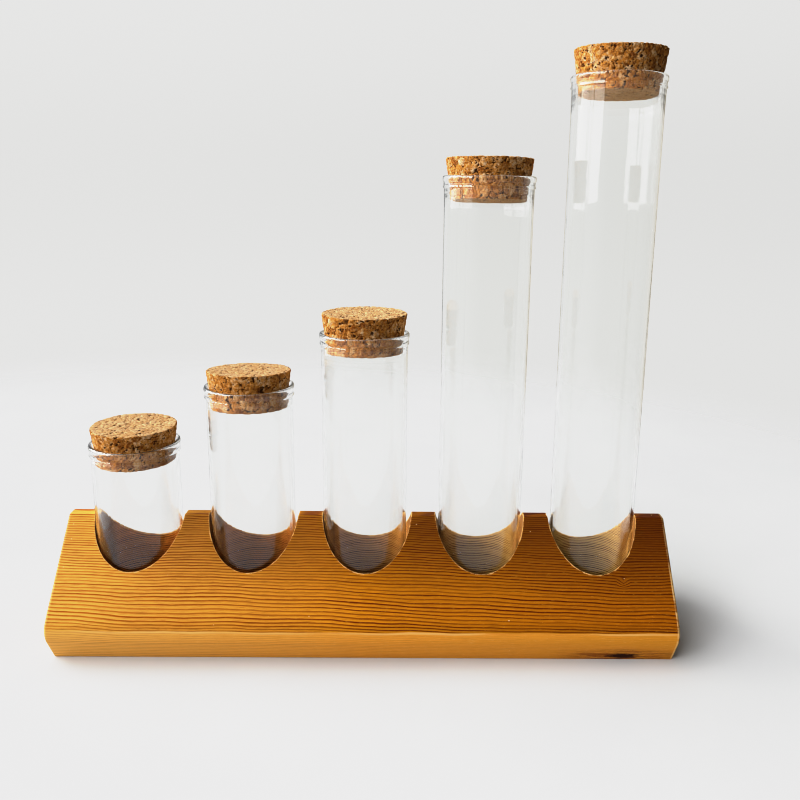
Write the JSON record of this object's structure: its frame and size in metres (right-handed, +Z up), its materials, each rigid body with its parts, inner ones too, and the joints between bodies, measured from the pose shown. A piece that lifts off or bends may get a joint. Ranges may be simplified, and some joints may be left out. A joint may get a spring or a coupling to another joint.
{
  "type": "test tube rack with corked tubes",
  "caption": "Solid wooden block with sloping sides and a row of bores, holding flat-bottomed glass test tubes of rising height, each closed by a tapered cork stopper.",
  "frame": {"origin": "middle of the block's underside, the middle of the whole object's base", "axes": "+X along the row of tubes from the shortest to the longest, +Y away from the front, +Z up along the tubes"},
  "size_m": [0.215, 0.0576, 0.2047],
  "materials": {
    "wood": "satin",
    "clear_glass": "polished",
    "cork": "matte"
  },
  "bodies": {
    "stand": {"stand_block": "wood"},
    "tube_1": {"glass_tube_1": "clear_glass"},
    "tube_2": {"glass_tube_2": "clear_glass"},
    "tube_3": {"glass_tube_3": "clear_glass"},
    "tube_4": {"glass_tube_4": "clear_glass"},
    "tube_5": {"glass_tube_5": "clear_glass"},
    "stopper_1": {"cork_stopper_1": "cork"},
    "stopper_2": {"cork_stopper_2": "cork"},
    "stopper_3": {"cork_stopper_3": "cork"},
    "stopper_4": {"cork_stopper_4": "cork"},
    "stopper_5": {"cork_stopper_5": "cork"}
  },
  "joints": [
    {"name": "tube_1_lift", "type": "slide", "parent": "stand", "child": "tube_1", "axis": [0, 0, 1], "range_m": [0, 0.036]},
    {"name": "tube_2_lift", "type": "slide", "parent": "stand", "child": "tube_2", "axis": [0, 0, 1], "range_m": [0, 0.036]},
    {"name": "tube_3_lift", "type": "slide", "parent": "stand", "child": "tube_3", "axis": [0, 0, 1], "range_m": [0, 0.036]},
    {"name": "tube_4_lift", "type": "slide", "parent": "stand", "child": "tube_4", "axis": [0, 0, 1], "range_m": [0, 0.036]},
    {"name": "tube_5_lift", "type": "slide", "parent": "stand", "child": "tube_5", "axis": [0, 0, 1], "range_m": [0, 0.036]},
    {"name": "stopper_1_pull", "type": "slide", "parent": "tube_1", "child": "stopper_1", "axis": [0, 0, 1], "range_m": [0, 0.032]},
    {"name": "stopper_2_pull", "type": "slide", "parent": "tube_2", "child": "stopper_2", "axis": [0, 0, 1], "range_m": [0, 0.032]},
    {"name": "stopper_3_pull", "type": "slide", "parent": "tube_3", "child": "stopper_3", "axis": [0, 0, 1], "range_m": [0, 0.032]},
    {"name": "stopper_4_pull", "type": "slide", "parent": "tube_4", "child": "stopper_4", "axis": [0, 0, 1], "range_m": [0, 0.032]},
    {"name": "stopper_5_pull", "type": "slide", "parent": "tube_5", "child": "stopper_5", "axis": [0, 0, 1], "range_m": [0, 0.032]}
  ]
}
